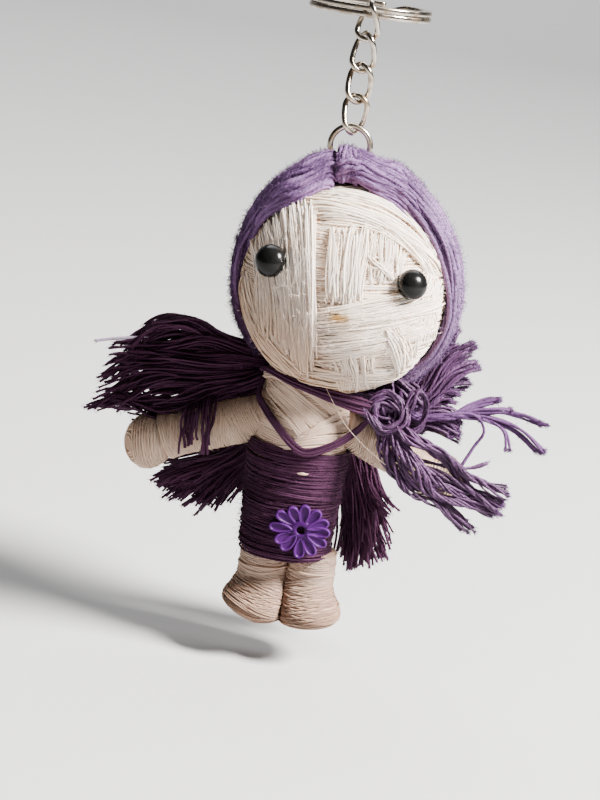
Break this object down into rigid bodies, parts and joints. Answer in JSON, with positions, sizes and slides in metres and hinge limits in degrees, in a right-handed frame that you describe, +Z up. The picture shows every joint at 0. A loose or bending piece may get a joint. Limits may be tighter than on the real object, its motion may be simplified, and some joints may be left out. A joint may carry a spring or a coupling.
{
  "type": "string doll key ring",
  "caption": "Wound-string doll with purple string hair, bead eyes and a flower button, hung by a twisted-link chain and a jump ring from a split key ring.",
  "frame": {"origin": "centre of the split key ring, half way through its thickness", "axes": "+Z up along the hanging chain, -Y is the doll's front, +X the viewer's right; the chain hangs from the ring's front"},
  "size_m": [0.0976, 0.0449, 0.1283],
  "materials": {
    "nickel_steel": "bright nickel plate",
    "cream_string": "matt cotton string",
    "foam": "matt foam ball",
    "purple_string": "matt cotton string",
    "purple_hair": "matt cotton string",
    "black_bead": "gloss",
    "purple_plastic": "clear gloss",
    "core_wire": "plain soft wire"
  },
  "bodies": {
    "key_ring": {"split_key_ring": "nickel_steel"},
    "link_1": {"chain_link_1": "nickel_steel"},
    "link_2": {"chain_link_2": "nickel_steel"},
    "link_3": {"chain_link_3": "nickel_steel"},
    "link_4": {"chain_link_4": "nickel_steel"},
    "jump_link": {"jump_ring": "nickel_steel"},
    "doll": {"crown_loop": "purple_string", "neck_tie": "purple_string", "halter_strap": "purple_string", "dress_winding": "purple_string", "pigtail_tie_left": "purple_string", "pigtail_tie_right": "purple_string", "hair_left": "purple_hair", "hair_right": "purple_hair", "pigtail_left": "purple_hair", "pigtail_right": "purple_hair", "pigtail_right_lower": "purple_hair", "back_hair_left": "purple_hair", "back_hair_right": "purple_hair", "head_core": "foam", "head_winding": "cream_string", "body_core": "cream_string", "arm_left": "cream_string", "arm_winding_left": "cream_string", "hand_left": "cream_string", "leg_left": "cream_string", "leg_winding_left": "cream_string", "foot_left": "cream_string", "eye_left": "black_bead", "spine_wire_left": "core_wire", "arm_right": "cream_string", "arm_winding_right": "cream_string", "hand_right": "cream_string", "leg_right": "cream_string", "leg_winding_right": "cream_string", "foot_right": "cream_string", "eye_right": "black_bead", "spine_wire_right": "core_wire", "arm_wire": "core_wire", "flower_button": "purple_plastic"}
  },
  "joints": [
    {"name": "ring_to_link_1", "type": "hinge", "parent": "key_ring", "child": "link_1", "pos_m": [0, -0.01155, 0], "axis": [1, 0, 0], "range_deg": [-70, 70]},
    {"name": "link_1_to_link_2", "type": "hinge", "parent": "link_1", "child": "link_2", "pos_m": [0, -0.01155, -0.00422], "axis": [0.342, -0.9397, 0], "range_deg": [-28, 28]},
    {"name": "link_2_to_link_3", "type": "hinge", "parent": "link_2", "child": "link_3", "pos_m": [0, -0.01155, -0.01183], "axis": [0.9397, 0.342, 0], "range_deg": [-28, 28]},
    {"name": "link_3_to_link_4", "type": "hinge", "parent": "link_3", "child": "link_4", "pos_m": [0, -0.01155, -0.01663], "axis": [0.866, -0.5, 0], "range_deg": [-28, 28]},
    {"name": "link_4_to_jump_ring", "type": "hinge", "parent": "link_4", "child": "jump_link", "pos_m": [0, -0.01155, -0.02423], "axis": [0.5, 0.866, 0], "range_deg": [-22, 22]},
    {"name": "jump_ring_to_doll", "type": "hinge", "parent": "jump_link", "child": "doll", "pos_m": [0, -0.01155, -0.03083], "axis": [1, 0, 0], "range_deg": [-75, 75]}
  ]
}
